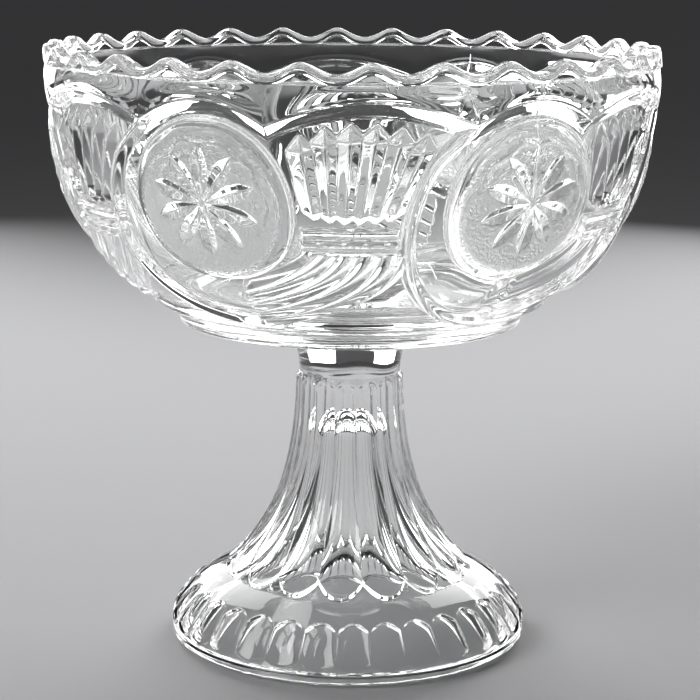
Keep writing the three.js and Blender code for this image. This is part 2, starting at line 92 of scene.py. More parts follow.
def even_bezier(controls, steps=3000):
    """Points along a cubic curve of (radius, height), with how far along it each lies."""
    share = np.linspace(0, 1, steps + 1)[:, None]
    start, pull_a, pull_b, end = np.array(controls, float)
    points = (
        (1 - share) ** 3 * start
        + 3 * (1 - share) ** 2 * share * pull_a
        + 3 * (1 - share) * share**2 * pull_b
        + share**3 * end
    )
    gaps = np.linalg.norm(np.diff(points, axis=0), axis=1)
    return points, np.concatenate([[0.0], np.cumsum(gaps)])


def along_curve(values, reach, distance):
    """The pair of values that a curve has at a distance along it."""
    return [np.interp(distance, reach, values[:, k]) for k in (0, 1)]


wall_points, wall_reach = even_bezier(WALL_LINE)
wall_slope = np.gradient(wall_points, axis=0)
wall_slope /= np.linalg.norm(wall_slope, axis=1)[:, None]
WALL_LENGTH = wall_reach[-1]


def wall_radius(down):
    return np.interp(WALL_LENGTH - down, wall_reach, wall_points[:, 0])


def on_wall(down, out):
    """Radius and height of a point so far down the wall from the crease, and out from its face."""
    up = WALL_LENGTH - down
    radius, height = along_curve(wall_points, wall_reach, up)
    lean, rise = along_curve(wall_slope, wall_reach, up)
    return radius + rise * out, height - lean * out


def soft_max(a, b, softness=EDGE_SOFTNESS):
    share = np.clip(0.5 + 0.5 * (a - b) / softness, 0, 1)
    return b * (1 - share) + a * share + softness * share * (1 - share)


def soft_min(a, b, softness=EDGE_SOFTNESS):
    return -soft_max(-a, -b, softness)


def rounded(distance, radius):
    """A distance whose sharp zero is rounded, so that a ridge made from it has a small radius."""
    return np.sqrt(distance**2 + radius**2) - radius


def ease(share):
    share = np.clip(share, 0, 1)
    return share * share * (3 - 2 * share)


def arch_down(turn):
    fan_half, medallion_half = FAN_ARCH / 2, (REPEAT - FAN_ARCH) / 2
    from_fan = np.abs(turn)
    over_fan = from_fan / fan_half
    over_medallion = (REPEAT / 2 - from_fan) / medallion_half
    share = np.where(from_fan <= fan_half, over_fan, over_medallion)
    return ARCH_TOP + (ARCH_CUSP - ARCH_TOP) * share**2


def ground(turn, down):
    """The plain frieze above the arches, the sunk ground of the pattern and the plain foot."""
    arch = arch_down(turn)
    frieze = FRIEZE_BULGE * np.sin(math.pi * np.clip(down / arch, 0, 1))
    lips = sum(LIP * np.exp(-(((down - line) / LIP_WIDTH) ** 2)) for line in (arch, arch + STEP_RUN))
    below_arch = np.clip((down - arch) / STEP_RUN, 0, 1)
    cove = (1 - COVE) * below_arch + COVE * np.sin(math.pi / 2 * below_arch)
    above_foot = ease((WALL_LENGTH - GROUND_START - down) / FOOT_RUN)
    return frieze + lips - GROUND_DEPTH * cove * above_foot


# A medallion is a thick button with a bevelled edge and a star of ten mitred petals.
MEDALLION_TURN = -30
MEDALLION_DOWN = 37.5
MEDALLION_R = 27.35
MEDALLION_SHOULDER = 5
MEDALLION_EDGE_SLOPE = 3
MEDALLION_EDGE = 0.7
MEDALLION_CROWN = 1.7
MEDALLION_FACE = -0.8
STAR_RISE = 1.5
PETALS = 10
PETAL_START = 1.0
PETAL_PEAK = 0.6
PETAL_TIP = 17.6
PETAL_WIDTH = 5.3
PETAL_DEPTH = 1.4
PETAL_END_SLOPE = 3
LEAF_FULLNESS = 2.2
GROOVE_ROUND = 0.12
RIPPLE = 0.08
RIPPLE_PITCH = 4.2
RIPPLE_FOLD = 2.5
RIPPLE_FADE = 8
RIPPLE_TILT = 0.4
RIPPLE_START = 0.8
RIPPLE_START_RUN = 4
GROOVE_SOFTNESS = 0.15
STIPPLE_R = 25
STIPPLE_FADE = 4
STIPPLE_THINNING = 0.8
STIPPLE_TILT = 0.25
CLEAR_GROOVE_DEPTH = 0.12


def medallion(turn, down, grooved=True):
    """The button's face, with the contour lines above its star and the star itself if grooved."""
    side = (turn - MEDALLION_TURN) * wall_radius(down) * DEGREE
    rise = MEDALLION_DOWN - down
    reach = np.hypot(side, rise)
    share = np.clip(reach / MEDALLION_R, 0, 1)
    rim_out = MEDALLION_EDGE - GROUND_DEPTH
    shoulder = np.sqrt(1 - share**MEDALLION_SHOULDER)
    body = rim_out + (MEDALLION_FACE - rim_out) * shoulder + MEDALLION_CROWN * (1 - share**2)
    body = body - MEDALLION_EDGE_SLOPE * np.maximum(reach - MEDALLION_R, 0)

    if not grooved:
        return body
    fold = reach + RIPPLE_FOLD * np.cos(PETALS * np.arctan2(side, rise - STAR_RISE)) * (1 - share)
    contours = RIPPLE * np.sin(2 * math.pi * fold / RIPPLE_PITCH)
    high_on_face = ease((rise + RIPPLE_TILT * side + RIPPLE_FADE) / (2 * RIPPLE_FADE))
    past_star = ease((reach - PETAL_TIP * RIPPLE_START) / RIPPLE_START_RUN)
    body = body + contours * high_on_face * past_star

    rise = rise - STAR_RISE
    reach = np.hypot(side, rise)
    clock = np.arctan2(side, rise)
    petal = 2 * math.pi / PETALS
    from_petal = clock - petal * np.round(clock / petal)
    along, aside = reach * np.cos(from_petal), np.abs(reach * np.sin(from_petal))
    share = np.clip((along - PETAL_START) / (PETAL_TIP - PETAL_START), 0, 1)
    from_peak = np.where(share < PETAL_PEAK, 1 - share / PETAL_PEAK, (share - PETAL_PEAK) / (1 - PETAL_PEAK))
    past_tip = np.maximum(along - PETAL_TIP, 0)
    half_width = PETAL_WIDTH / 2 * (1 - from_peak**LEAF_FULLNESS) - PETAL_END_SLOPE * past_tip
    steepness = 2 * PETAL_DEPTH / PETAL_WIDTH
    groove = steepness * (half_width - rounded(aside, GROOVE_ROUND))
    return body - soft_max(groove, np.zeros_like(groove), GROOVE_SOFTNESS)


def stipple(turn, down):
    """Where the mould was stippled: round the star, and most of all below it."""
    side = (turn - MEDALLION_TURN) * wall_radius(down) * DEGREE
    rise = MEDALLION_DOWN - down
    reach = np.hypot(side, rise)
    on_face = ease((STIPPLE_R - reach) / STIPPLE_FADE)
    low = 1 - STIPPLE_THINNING * ease((rise - STIPPLE_TILT * side) / STIPPLE_R)
    groove = medallion(turn, down, grooved=False) - medallion(turn, down)
    return on_face * low * (1 - ease(groove / CLEAR_GROOVE_DEPTH))


# A fan is six roof-shaped reeds with hipped, pointed ends, splayed upwards and leaning a little.
REEDS = 6
REED_TOP_PITCH = 4.5
REED_FOOT_PITCH = 2.65
FAN_TOP_TURN = -1.2
FAN_FOOT_TURN = -3.1
REED_TOP_DOWN = 10.3
REED_FOOT_DOWN = 42.8
FAN_TOP_DROOP = 0.55
FAN_FOOT_LIFT = 0.2
REED_POINT = 6.2
REED_FOOT_POINT = 3.0
REED_RIDGE = -0.4
REED_VALLEY = 0.7
RIDGE_ROUND = 0.16
REED_OVERRUN = 0.2
REED_LAP = 1
REED_SOFTNESS = 0.08


def fan(turn, down):
    height = np.full(np.shape(turn), 2.0 * ROOT)
    spread = (REED_RIDGE - ROOT) / (REED_RIDGE - (REED_VALLEY - GROUND_DEPTH)) / 2
    for index in range(REEDS):
        from_middle = index - (REEDS - 1) / 2
        top = REED_TOP_DOWN + FAN_TOP_DROOP * from_middle**2
        foot = REED_FOOT_DOWN - FAN_FOOT_LIFT * from_middle**2
        share = np.clip((down - top) / (foot - top), -REED_OVERRUN, 1 + REED_OVERRUN)
        top_turn = FAN_TOP_TURN + REED_TOP_PITCH * from_middle
        foot_turn = FAN_FOOT_TURN + REED_FOOT_PITCH * from_middle
        middle = top_turn + (foot_turn - top_turn) * share
        pitch = REED_TOP_PITCH + (REED_FOOT_PITCH - REED_TOP_PITCH) * share
        aside = rounded(turn - middle, RIDGE_ROUND) / pitch
        head = (down - top + REED_LAP) / (REED_POINT + REED_LAP)
        tail = (foot + REED_LAP - down) / (REED_FOOT_POINT + REED_LAP)
        fill = soft_min(soft_min(head, tail, REED_SOFTNESS), np.ones_like(head), REED_SOFTNESS)
        reed = ROOT + (REED_RIDGE - ROOT) * (fill - aside / spread)
        height = np.maximum(height, reed)
    return height


# The tie gathers the reeds: a hollow strip over two fine lines.
TIE_LEFT_TURN = -12.4
TIE_RIGHT_TURN = 5.2
TIE_TOP_DOWN = 44.4
TIE_FOOT_DOWN = 52.0
TIE_LINE_DOWN = 48.8
TIE_FACE = -0.9
TIE_HOLLOW = 0.8
TIE_LINE = 0.7
TIE_LINE_SLOPE = 1.1
TIE_SOFTNESS = 0.15
TIE_EDGE_SLOPE = 5
TIE_END_SLOPE = 6


def tie(turn, down):
    across = np.clip((down - TIE_TOP_DOWN) / (TIE_LINE_DOWN - TIE_TOP_DOWN), 0, 1)
    strip = TIE_FACE - TIE_HOLLOW * np.sin(math.pi * across)
    lines = np.maximum(
        TIE_LINE - np.abs(down - TIE_LINE_DOWN) * TIE_LINE_SLOPE,
        TIE_LINE - np.abs(down - TIE_FOOT_DOWN) * TIE_LINE_SLOPE,
    )
    past_edge = np.maximum(TIE_TOP_DOWN - down, down - TIE_FOOT_DOWN)
    height = soft_max(strip, TIE_FACE + lines, TIE_SOFTNESS) - TIE_EDGE_SLOPE * np.maximum(past_edge, 0)
    past_end = np.maximum(TIE_LEFT_TURN - turn, turn - TIE_RIGHT_TURN)
    return height - TIE_END_SLOPE * np.maximum(past_end, 0)


# The skirt is five curved ribs that sweep from the tie down below the medallion on the left.
# Each pair is the first rib's place, as turn and distance down, and the step to the next rib.
RIBS = 5
RIB_RIDGE = -0.5
RIB_VALLEY = -1.9
RIB_EDGE = 0.7
RIB_ROUND = 0.03
RIB_END_SLOPE = 60
RIB_STARTS = [(-9.9, 52.8), (4.05, 0.0)]
RIB_BENDS = [(-14.5, 62.0), (5.0, 3.0)]
RIB_ENDS = [(-26.0, 68.0), (0.0, 5.5)]
NEWTON_STEPS = 14
FAR_MISS = 0.5


def skirt(turn, down):
    """Finds which rib and how far along it each point lies, by Newton's method."""
    curves = np.array([RIB_STARTS, RIB_BENDS, RIB_ENDS], float)[..., None, None]
    (start, start_step), (bend, bend_step), (end, end_step) = curves
    index = np.full(np.shape(turn), (RIBS - 1) / 2)
    share = np.full(np.shape(turn), 0.5)
    for _ in range(NEWTON_STEPS):
        a = start + start_step * index
        b = bend + bend_step * index
        c = end + end_step * index
        place = (1 - share) ** 2 * a + 2 * share * (1 - share) * b + share**2 * c
        along = 2 * (1 - share) * (b - a) + 2 * share * (c - b)
        across = (1 - share) ** 2 * start_step + 2 * share * (1 - share) * bend_step + share**2 * end_step
        miss_x, miss_y = place[0] - turn, place[1] - down
        scale = across[0] * along[1] - across[1] * along[0]
        scale = np.where(np.abs(scale) < 1, np.sign(scale) + (scale == 0), scale)
        index = np.clip(index - (miss_x * along[1] - miss_y * along[0]) / scale, -2, RIBS + 1)
        share = np.clip(share - (across[0] * miss_y - across[1] * miss_x) / scale, -0.3, 1.3)
    nearest = np.clip(np.round(index), 0, RIBS - 1)
    aside = rounded(index - nearest, RIB_ROUND)
    inside = (index > 0) & (index < RIBS - 1)
    valley = (RIB_RIDGE - RIB_VALLEY) * np.sin(math.pi * np.minimum(aside, 0.5))
    border = (RIB_RIDGE - ROOT) / RIB_EDGE * aside
    height = RIB_RIDGE - np.where(inside, valley, border)
    past_end = np.maximum(share - 1, -share)
    missed = np.hypot(miss_x, miss_y) > FAR_MISS
    return np.where(missed, 2 * ROOT, height - RIB_END_SLOPE * np.maximum(past_end, 0))


# The halo is a raised band that leaves the cusp of the arch and rounds the medallion's left.
# Its path is in turns from the medallion's middle and distances down the wall.
HALO_WIDTH = 3.0
HALO_CREST = 1.7
HALO_RISE = -0.1
HALO_SOFTNESS = 0.5
HALO_PATH = [(-12.6, 13.5), (-19.4, 25), (-22.6, 43), (-21.3, 62), (-14, 79), (-3, 88.5), (8, 91)]


def spline_points(knots, steps=160):
    """Points on a smooth curve through the knots."""
    knots = np.array(knots, float)
    spans = len(knots) - 1
    places = np.linspace(0, spans, steps)
    first = np.minimum(places.astype(int), spans - 1)
    share = (places - first)[:, None]
    before, start = knots[np.maximum(first - 1, 0)], knots[first]
    end, after = knots[first + 1], knots[np.minimum(first + 2, spans)]
    leave, arrive = (end - before) / 2, (after - start) / 2
    return (
        start
        + leave * share
        + (3 * (end - start) - 2 * leave - arrive) * share**2
        + (2 * (start - end) + leave + arrive) * share**3
    )


def halo(turn, down):
    nearest = np.full(np.shape(turn), np.inf)
    across = wall_radius(down) * DEGREE
    for place_turn, place_down in spline_points(HALO_PATH):
        gap = ((turn - MEDALLION_TURN - place_turn) * across) ** 2 + (down - place_down) ** 2
        nearest = np.minimum(nearest, gap)
    aside = np.sqrt(nearest)
    steepness = (HALO_RISE - ROOT) / (HALO_WIDTH - HALO_CREST / 2)
    slope = HALO_RISE - steepness * (aside - HALO_CREST / 2)
    return soft_min(slope, np.full_like(slope, HALO_RISE), HALO_SOFTNESS)


def relief(turn, down):
    """How far the moulded face stands out from the wall's plain face, over one repeat."""
    height = ground(turn, down)
    for feature in (medallion, fan, tie, skirt, halo):
        for repeat in (-REPEAT, 0, REPEAT):
            height = soft_max(height, feature(turn - repeat, down))
    return height


WAVES = 24
WAVE_RUN = 60


def waves(turn, along, size, seed, longest=9):
    """Gentle unevenness of cooled glass, as a sum of slow waves that close round the bowl."""
    draws = np.random.default_rng(seed)
    total = np.zeros(np.broadcast(turn, along).shape)
    for _ in range(WAVES):
        round_count = draws.integers(0, longest * 2)
        up_count = draws.uniform(0.2, longest) / WAVE_RUN
        phase = draws.uniform(0, 2 * math.pi)
        total += np.sin(turn * DEGREE * round_count + along * up_count + phase)
    return total * size / math.sqrt(WAVES / 2)


SEAM_SPACING = 120
FIRST_SEAM = 30
SEAM_HEIGHT = 0.16
SEAM_WIDTH = 0.16


def seam(turn):
    """The fine raised line that each joint of the three-part mould leaves."""
    seams_on = np.round((turn - FIRST_SEAM) / SEAM_SPACING)
    from_seam = turn - FIRST_SEAM - SEAM_SPACING * seams_on
    return SEAM_HEIGHT * np.exp(-((from_seam / SEAM_WIDTH) ** 2))


def scallop_wave(turn):
    return ((1 + np.cos(turn * DEGREE * SCALLOPS)) / 2) ** SCALLOP_POINTEDNESS


ZIGZAG_ROUND = 0.08


def zigzag(turn):
    """The straighter wave of the rim's inner edge, from 0 in the dips to 1 on the peaks."""
    share = np.abs((turn * SCALLOPS / 360 + 0.5) % 1 - 0.5) * 2
    low = np.full_like(share, ZIGZAG_ROUND)
    high = np.full_like(share, 1 - ZIGZAG_ROUND)
    return 1 - soft_min(soft_max(share, low, ZIGZAG_ROUND), high, ZIGZAG_ROUND)


def softened(corners, radius, steps=5):
    """A profile whose inner corners are rounded off."""
    corners = [np.array(corner, float) for corner in corners]
    profile = [corners[0]]
    for before, corner, after in zip(corners, corners[1:], corners[2:]):
        toward, away = before - corner, after - corner
        cut = min(radius, 0.45 * np.linalg.norm(toward), 0.45 * np.linalg.norm(away))
        start = corner + toward / np.linalg.norm(toward) * cut
        end = corner + away / np.linalg.norm(away) * cut
        for k in range(steps + 1):
            share = k / steps
            profile.append((1 - share) ** 2 * start + 2 * share * (1 - share) * corner + share**2 * end)
    profile.append(corners[-1])
    return profile


def ring_mesh(name, turns, rings, close_end=False):
    """A mesh of quads between rings; each ring is a (radius, height) pair, fixed or per turn."""
    columns = len(turns)
    sines, cosines = np.sin(turns * DEGREE), np.cos(turns * DEGREE)
    radii = np.array([np.broadcast_to(radius, columns) for radius, _ in rings])
    heights = np.array([np.broadcast_to(height, columns) for _, height in rings])
    points = np.stack([radii * sines, -radii * cosines, heights], axis=-1).reshape(-1, 3) * MM
    column = np.arange(columns)
    beside = (column + 1) % columns
    starts = np.arange(len(rings) - 1)[:, None] * columns
    corners = [starts + column, starts + beside, starts + columns + beside, starts + columns + column]
    loops = np.stack(corners, -1).reshape(-1)
    sizes = np.full(len(loops) // 4, 4)
    if close_end:
        last = (len(rings) - 1) * columns
        centre = len(points)
        middle = np.array([[0, 0, heights[-1].mean() * MM]])
        points = np.concatenate([points, middle])
        fan_faces = np.stack([last + column, last + beside, np.full(columns, centre)], -1).reshape(-1)
        loops = np.concatenate([loops, fan_faces])
        sizes = np.concatenate([sizes, np.full(columns, 3)])
    mesh = bpy.data.meshes.new(name)
    mesh.vertices.add(len(points))
    mesh.vertices.foreach_set("co", points.astype(np.float32).reshape(-1))
    mesh.loops.add(len(loops))
    mesh.loops.foreach_set("vertex_index", loops.astype(np.int32))
    mesh.polygons.add(len(sizes))
    mesh.polygons.foreach_set("loop_start", np.concatenate([[0], np.cumsum(sizes)[:-1]]).astype(np.int32))
    mesh.polygons.foreach_set("use_smooth", np.ones(len(sizes), bool))
    mesh.update(calc_edges=True)
    mesh.validate()
    piece = bpy.data.objects.new(name, mesh)
    bpy.context.scene.collection.objects.link(piece)
    return piece


bowl_turns = np.arange(BOWL_COLUMNS) * 360 / BOWL_COLUMNS
repeat_columns = BOWL_COLUMNS // REPEATS
half_repeat = repeat_columns // 2
repeat_turns = (np.arange(repeat_columns) - half_repeat) * 360 / BOWL_COLUMNS
wall_downs = np.linspace(WALL_LENGTH, 0, int(WALL_LENGTH / WALL_ROW) + 1)
turn_grid, down_grid = np.meshgrid(repeat_turns, wall_downs)


def round_the_bowl(one_repeat):
    """A grid over one repeat, which starts half a repeat early, copied right round from turn 0."""
    return np.tile(np.roll(one_repeat, -half_repeat, axis=1), (1, REPEATS))


wall_outs = round_the_bowl(relief(turn_grid, down_grid))
wall_outs += waves(bowl_turns[None, :], wall_downs[:, None], WALL_WAVE, seed=5) + seam(bowl_turns)[None, :]
one_mask = sum(stipple(turn_grid - side, down_grid) for side in (-REPEAT, 0, REPEAT))
stipple_mask = round_the_bowl(one_mask)

collar_inner = COLLAR_R - COLLAR_WIDTH
underside_corners = [
    (WAFER_TOP_R, UNDERSIDE_Z),
    (collar_inner - COLLAR_FLARE, UNDERSIDE_Z),
    (collar_inner, COLLAR_BOTTOM_Z),
    (COLLAR_R, COLLAR_BOTTOM_Z),
    (COLLAR_R, COLLAR_TOP_Z),
    WALL_LINE[0],
]
bowl_rings = [tuple(point) for point in softened(underside_corners, COLLAR_ROUND)[:-1]]
first_wall_ring = len(bowl_rings)
for down, outs in zip(wall_downs, wall_outs):
    bowl_rings.append(on_wall(down, outs))


def later_shares(count):
    """Even shares up to 1 that leave out 0, for rings that go on from an earlier one."""
    return np.linspace(0, 1, count + 1)[1:]


# Below each scallop's peak an eye is hollowed into the rim's side, under the bead.
EYE_START_RUN = 0.7
EYE_LAP = 0.3
EYE_END_RUN = 0.9
edge_z = CREASE_Z + BEAD_HEIGHT + SCALLOP_DEPTH * scallop_wave(bowl_turns)
shoulder_z = edge_z - BEAD_ROUND
bead_height = BEAD_HEIGHT + BEAD_SWELL * scallop_wave(bowl_turns)
bead_foot = edge_z - bead_height
for share in later_shares(25):
    z = CREASE_Z + (shoulder_z - CREASE_Z) * share
    in_eye = ease((z - CREASE_Z) / EYE_START_RUN) * ease((bead_foot + EYE_LAP - z) / EYE_END_RUN)
    on_bead = np.clip((z - bead_foot) / bead_height, 0, 1)
    bulge = BEAD_BULGE * np.sin(math.pi * np.sqrt(on_bead)) * (on_bead < 1)
    radius = CREASE_R - EYE_DEPTH * in_eye + np.minimum(bulge + seam(bowl_turns), BEAD_BULGE)
    bowl_rings.append((radius, z))

# The rim's top rolls over from the bead to the smooth inside that the plunger leaves.
CROWN_FULLNESS = 0.75
crown_start = CREASE_R + BEAD_BULGE * np.sin(math.pi * np.sqrt(1 - BEAD_ROUND / bead_height))
crown_end = CREASE_R - RIM_WALL
crown_middle = (crown_start + crown_end) / 2
crown_half = (crown_start - crown_end) / 2
inner_edge_z = CREASE_Z + BEAD_HEIGHT + SCALLOP_DEPTH * zigzag(bowl_turns)
for share in later_shares(17):
    lean = math.pi * share
    radius = crown_middle + crown_half * math.copysign(abs(math.cos(lean)) ** CROWN_FULLNESS, math.cos(lean))
    drop = BEAD_ROUND * (1 + ease(share))
    top_z = edge_z + (inner_edge_z - edge_z) * ease(share)
    bowl_rings.append((radius, top_z - drop + drop * math.sin(lean) ** CROWN_FULLNESS))

INSIDE_WAVE = 0.1
INSIDE_WAVE_LENGTH = 120
INSIDE_WAVE_START = 8
FLOOR_SHARES = (0.25, 0.5, 0.75, 0.93)
inside_points, inside_reach = even_bezier(INSIDE_LINE)
for share in np.linspace(0, 1, 90):
    radius, z = along_curve(inside_points, inside_reach, share * inside_reach[-1])
    sway = waves(bowl_turns, share * INSIDE_WAVE_LENGTH, INSIDE_WAVE, seed=11)
    sway *= min(1, INSIDE_WAVE_START * share)
    bowl_rings.append((radius - sway, np.full(BOWL_COLUMNS, z)))
floor_edge = bowl_rings[-1][0]
for share in FLOOR_SHARES:
    bowl_rings.append((floor_edge * (1 - share), FLOOR_Z))
bowl = ring_mesh("pressed_bowl", bowl_turns, bowl_rings, close_end=True)
mask = np.zeros(len(bowl.data.vertices), np.float32)
first_wall_point = first_wall_ring * BOWL_COLUMNS
mask[first_wall_point : first_wall_point + stipple_mask.size] = stipple_mask.reshape(-1)
bowl.data.attributes.new("stipple", "FLOAT", "POINT").data.foreach_set("value", mask)


GLASS_TINT = (0.985, 0.99, 0.985, 1)
GLASS_IOR = 1.52
SMEAR_SCALE = 45
SMEAR_ROUGHNESS = 0.02
FACE_RIPPLE_SCALE = 60
FACE_RIPPLE_STRENGTH = 0.02
FACE_RIPPLE_HEIGHT = 0.0006


def clear_glass(name):
    """Colourless glass with the faint smears and ripples of a pressed, fire-polished face."""
    material = bpy.data.materials.new(name)
    material.use_nodes = True
    nodes, links = material.node_tree.nodes, material.node_tree.links
    shader = nodes["Principled BSDF"]
    shader.inputs["Base Color"].default_value = GLASS_TINT
    shader.inputs["IOR"].default_value = GLASS_IOR
    shader.inputs["Transmission Weight"].default_value = 1.0
    place = nodes.new("ShaderNodeTexCoord")
    smears = nodes.new("ShaderNodeTexNoise")
    smears.inputs["Scale"].default_value = SMEAR_SCALE
    smears.inputs["Detail"].default_value = 3
    links.new(place.outputs["Object"], smears.inputs["Vector"])
    spread = nodes.new("ShaderNodeMapRange")
    spread.inputs["From Min"].default_value = 0.35
    spread.inputs["From Max"].default_value = 0.75
    spread.inputs["To Min"].default_value = 0.0
    spread.inputs["To Max"].default_value = SMEAR_ROUGHNESS
    links.new(smears.outputs["Fac"], spread.inputs["Value"])
    links.new(spread.outputs["Result"], shader.inputs["Roughness"])
    ripples = nodes.new("ShaderNodeTexNoise")
    ripples.inputs["Scale"].default_value = FACE_RIPPLE_SCALE
    ripples.inputs["Detail"].default_value = 2
    links.new(place.outputs["Object"], ripples.inputs["Vector"])
    bump = nodes.new("ShaderNodeBump")
    bump.inputs["Strength"].default_value = FACE_RIPPLE_STRENGTH
    bump.inputs["Distance"].default_value = FACE_RIPPLE_HEIGHT
    links.new(ripples.outputs["Fac"], bump.inputs["Height"])
    links.new(bump.outputs["Normal"], shader.inputs["Normal"])
    return material


# The stipple round the stars is a fine grain that frosts and whitens the glass a little.
STIPPLE_SCALE = 1000
STIPPLE_HEIGHT = 0.0006
STIPPLE_ROUGHNESS = 0.4
STIPPLE_WHITE = 0.4
bowl_glass = clear_glass("bowl_glass")
bowl_nodes, bowl_links = bowl_glass.node_tree.nodes, bowl_glass.node_tree.links
bowl_shader = bowl_nodes["Principled BSDF"]
stippled = bowl_nodes.new("ShaderNodeAttribute")
stippled.attribute_name = "stipple"
grain = bowl_nodes.new("ShaderNodeTexNoise")
grain.inputs["Scale"].default_value = STIPPLE_SCALE
grain.inputs["Detail"].default_value = 1
bowl_links.new(bowl_nodes["Texture Coordinate"].outputs["Object"], grain.inputs["Vector"])
grain_height = bowl_nodes.new("ShaderNodeMath")
grain_height.operation = "MULTIPLY"
bowl_links.new(grain.outputs["Fac"], grain_height.inputs[0])
bowl_links.new(stippled.outputs["Fac"], grain_height.inputs[1])
grain_bump = bowl_nodes.new("ShaderNodeBump")
grain_bump.inputs["Strength"].default_value = 1.0
grain_bump.inputs["Distance"].default_value = STIPPLE_HEIGHT
bowl_links.new(grain_height.outputs["Value"], grain_bump.inputs["Height"])
bowl_links.new(bowl_nodes["Bump"].outputs["Normal"], grain_bump.inputs["Normal"])
bowl_links.new(grain_bump.outputs["Normal"], bowl_shader.inputs["Normal"])
frost = bowl_nodes.new("ShaderNodeMath")
frost.operation = "MULTIPLY_ADD"
frost.inputs[1].default_value = STIPPLE_ROUGHNESS
bowl_links.new(stippled.outputs["Fac"], frost.inputs[0])
milk = bowl_nodes.new("ShaderNodeMath")
milk.operation = "MULTIPLY_ADD"
milk.inputs[1].default_value = -STIPPLE_WHITE
milk.inputs[2].default_value = 1.0
bowl_links.new(stippled.outputs["Fac"], milk.inputs[0])
bowl_links.new(milk.outputs["Value"], bowl_shader.inputs["Transmission Weight"])
bowl_links.new(bowl_nodes["Map Range"].outputs["Result"], frost.inputs[2])
bowl_links.new(frost.outputs["Value"], bowl_shader.inputs["Roughness"])
bowl.data.materials.append(bowl_glass)
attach(bowl, "root")
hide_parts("bowl")

# Joining wafer
# A gather of hot glass, dropped on the stem and pressed against the bowl's underside while both
# were hot. It is fused to each, so its two ends are open and meet the neighbours' edges.
WAFER_WAIST_R = 17.3
JOINT_Z = 93
WAFER_WAVE = 0.12
WAFER_WAVE_LENGTH = 60
WAFER_COLUMNS = 480

wafer_rise = (UNDERSIDE_Z - JOINT_Z) / 3
wafer_flare = (WAFER_TOP_R - WAFER_WAIST_R) / 3
wafer_line = [
    (WAFER_WAIST_R, JOINT_Z),
    (WAFER_WAIST_R, JOINT_Z + wafer_rise),
    (WAFER_WAIST_R + wafer_flare, JOINT_Z + 2 * wafer_rise),
    (WAFER_TOP_R, UNDERSIDE_Z),
]
wafer_turns = np.arange(WAFER_COLUMNS) * 360 / WAFER_COLUMNS
wafer_points, wafer_reach = even_bezier(wafer_line)
wafer_rings = []
for share in np.linspace(0, 1, 60):
    radius, z = along_curve(wafer_points, wafer_reach, share * wafer_reach[-1])
    sway = waves(wafer_turns, share * WAFER_WAVE_LENGTH, WAFER_WAVE, seed=3, longest=4)
    wafer_rings.append((radius + sway * math.sin(math.pi * share), np.full(WAFER_COLUMNS, z)))
wafer = ring_mesh("joining_wafer_glass", wafer_turns, wafer_rings)
wafer.data.materials.append(clear_glass("wafer_glass"))
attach(wafer, "root")
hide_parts("joining_wafer")

# Stem and foot
# The stand is pressed in one piece over a plunger that leaves it hollow. Sixteen scooped flutes
# end in round tongues on the domed foot, and thirty-two scooped panels run round its edge.
STEM_LINE = [(42, 25), (26, 40), (18.4, 62), (18.4, JOINT_Z)]
DOME_LINE = [(61.3, 5.6), (61.3, 14.5), (48, 23), (38, 24.4)]
HOLLOW_LINE = [(10.5, 70), (14, 26), (46, 24), (53.6, 0)]
HOLLOW_TOP_Z = 80
HOLLOW_TOP_START = 0.06
HOLLOW_WAVE = 0.06
HOLLOW_WAVE_LENGTH = 90
FLUTES = 16
FLUTE_TURN = 4.1
FLUTE_DEPTH_TOP = 0.9
FLUTE_DEPTH_FOOT = 2.0
FLUTE_HEAD = 2.5
STEM_SHOULDER = 2.2
TONGUE_ARC = 4.6
TONGUE_STEP = 2.0
TONGUE_FLARE = 0.6
PANELS = 32
PANEL_DEPTH = 2.0
PANEL_START = 0.5
PANEL_ARC = 2.3
PANEL_END = 0.55
PANEL_ARCH = 4
REST_R = 57.6
FOOT_BAND = [(61, 2), (61.1, 3.6), (60.3, 4.2)]
FOOT_ROUND = 0.5
DOME_SHARE = 0.86
STEM_START_RUN = 0.1
STAND_COLUMNS = 1152

stand_turns = FLUTE_TURN + np.arange(STAND_COLUMNS) * 360 / STAND_COLUMNS


def scoop(count):
    """0 on the arris between two scoops, 1 on the middle of a scoop, for every column."""
    share = ((stand_turns - FLUTE_TURN) * count / 360) % 1
    return 1 - (2 * share - 1) ** 2


flute, panel = scoop(FLUTES), scoop(PANELS)
hollow_r, hollow_z = HOLLOW_LINE[0]
stand_rings = []
for share in np.linspace(HOLLOW_TOP_START, 1, 16):
    lean = math.pi / 2 * share
    stand_rings.append((hollow_r * math.sin(lean), hollow_z + (HOLLOW_TOP_Z - hollow_z) * math.cos(lean)))
hollow_points, hollow_reach = even_bezier(HOLLOW_LINE)
for share in later_shares(69):
    radius, z = along_curve(hollow_points, hollow_reach, share * hollow_reach[-1])
    sway = waves(stand_turns, share * HOLLOW_WAVE_LENGTH, HOLLOW_WAVE, seed=21, longest=5)
    stand_rings.append((radius + sway * math.sin(math.pi * share), np.full(STAND_COLUMNS, z)))
foot_bottom = softened([HOLLOW_LINE[-1], (REST_R, 0), *FOOT_BAND, DOME_LINE[0]], FOOT_ROUND)
stand_rings += [tuple(point) for point in foot_bottom[1:-1]]

